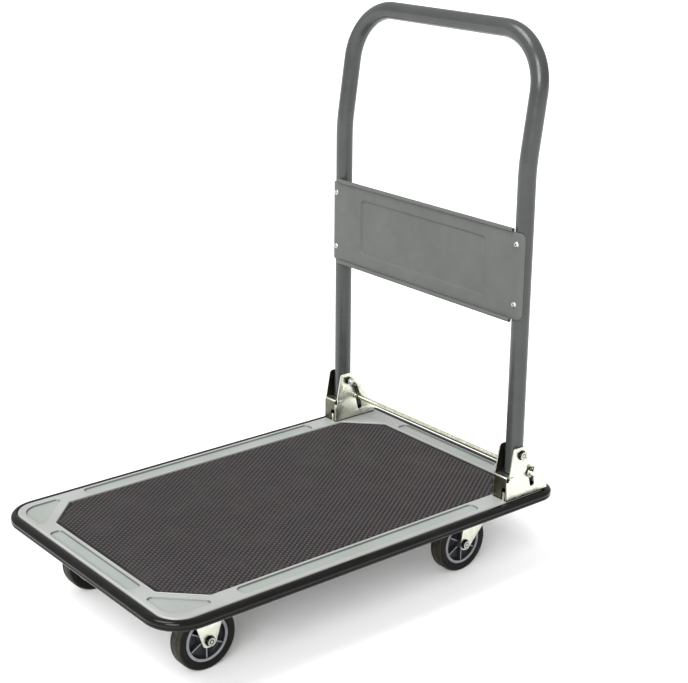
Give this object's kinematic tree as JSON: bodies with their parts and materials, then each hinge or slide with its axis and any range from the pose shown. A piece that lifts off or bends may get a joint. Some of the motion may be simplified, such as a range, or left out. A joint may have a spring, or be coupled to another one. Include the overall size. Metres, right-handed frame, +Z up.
{
  "type": "folding platform cart",
  "caption": "Flatbed hand cart with a rubber-matted steel deck, a hoop handle that folds down over it, a foot bar and fixed and swivel casters.",
  "frame": {"origin": "centre of the footprint at floor level, under the middle of the deck", "axes": "+Z up, length along Y with the handle at +Y and the low open end at -Y, width along X"},
  "size_m": [0.4788, 0.7418, 0.8621],
  "materials": {
    "deck_paint": "light grey-green semi-gloss enamel on pressed steel",
    "mat_rubber": "dark grey moulded rubber with a fine lattice of small studs",
    "bumper_vinyl": "glossy black extruded vinyl",
    "tube_paint": "mid grey satin powder coat",
    "zinc": "bright zinc-plated pressed steel",
    "yellow_zinc": "pale yellow zinc-plated round bar",
    "bright_steel": "bright plated hardware and spring wire",
    "wheel_core": "moulded grey plastic",
    "tyre": "black solid rubber tread with fine circumferential lines"
  },
  "bodies": {
    "chassis": {"deck_pan": "deck_paint", "deck_mat": "mat_rubber", "edge_bumper": "bumper_vinyl", "stiffener_left": "deck_paint", "bracket_left": "zinc", "pivot_bolt_left": "bright_steel", "pivot_nut_left": "bright_steel", "return_spring_left": "bright_steel", "fixed_fork_left": "zinc", "axle_bolt_front_left": "bright_steel", "axle_nut_front_left": "bright_steel", "swivel_plate_left": "zinc", "swivel_bearing_left": "zinc", "stiffener_right": "deck_paint", "bracket_right": "zinc", "pivot_bolt_right": "bright_steel", "pivot_nut_right": "bright_steel", "return_spring_right": "bright_steel", "fixed_fork_right": "zinc", "axle_bolt_front_right": "bright_steel", "axle_nut_front_right": "bright_steel", "swivel_plate_right": "zinc", "swivel_bearing_right": "zinc"},
    "handle": {"handle_tube": "tube_paint", "back_panel": "tube_paint", "panel_rivet_low_left": "bright_steel", "panel_rivet_high_left": "bright_steel", "panel_rivet_low_right": "bright_steel", "panel_rivet_high_right": "bright_steel"},
    "lock_bar_body": {"lock_bar": "yellow_zinc", "lock_washer_left": "bright_steel", "lock_pin_left": "bright_steel", "lock_washer_right": "bright_steel", "lock_pin_right": "bright_steel"},
    "swivel_left": {"swivel_fork_left": "zinc", "kingpin_left": "bright_steel", "axle_bolt_rear_left": "bright_steel", "axle_nut_rear_left": "bright_steel"},
    "wheel_front_left": {"wheel_core_front_left": "wheel_core", "tyre_front_left": "tyre"},
    "wheel_rear_left": {"wheel_core_rear_left": "wheel_core", "tyre_rear_left": "tyre"},
    "swivel_right": {"swivel_fork_right": "zinc", "kingpin_right": "bright_steel", "axle_bolt_rear_right": "bright_steel", "axle_nut_rear_right": "bright_steel"},
    "wheel_front_right": {"wheel_core_front_right": "wheel_core", "tyre_front_right": "tyre"},
    "wheel_rear_right": {"wheel_core_rear_right": "wheel_core", "tyre_rear_right": "tyre"}
  },
  "joints": [
    {"name": "handle_fold", "type": "hinge", "parent": "chassis", "child": "handle", "pos_m": [0, 0.2883, 0.206], "axis": [1, 0, 0], "range_deg": [0, 96]},
    {"name": "lock_bar_press", "type": "slide", "parent": "chassis", "child": "lock_bar_body", "axis": [0, 0.2504, -0.9681], "range_m": [0, 0.022], "stiffness_N_per_m": 800, "springref_m": -0.01, "deforming": ["return_spring_left", "return_spring_right"]},
    {"name": "caster_swivel_left", "type": "hinge", "parent": "chassis", "child": "swivel_left", "pos_m": [-0.152, 0.262, 0.119], "axis": [0, 0, 1], "continuous": true},
    {"name": "wheel_spin_front_left", "type": "hinge", "parent": "chassis", "child": "wheel_front_left", "pos_m": [-0.152, -0.258, 0.0485], "axis": [1, 0, 0], "continuous": true},
    {"name": "wheel_spin_rear_left", "type": "hinge", "parent": "swivel_left", "child": "wheel_rear_left", "pos_m": [-0.152, 0.2305, 0.0485], "axis": [1, 0, 0], "continuous": true},
    {"name": "caster_swivel_right", "type": "hinge", "parent": "chassis", "child": "swivel_right", "pos_m": [0.152, 0.262, 0.119], "axis": [0, 0, 1], "continuous": true},
    {"name": "wheel_spin_front_right", "type": "hinge", "parent": "chassis", "child": "wheel_front_right", "pos_m": [0.152, -0.258, 0.0485], "axis": [1, 0, 0], "continuous": true},
    {"name": "wheel_spin_rear_right", "type": "hinge", "parent": "swivel_right", "child": "wheel_rear_right", "pos_m": [0.152, 0.2305, 0.0485], "axis": [1, 0, 0], "continuous": true}
  ]
}
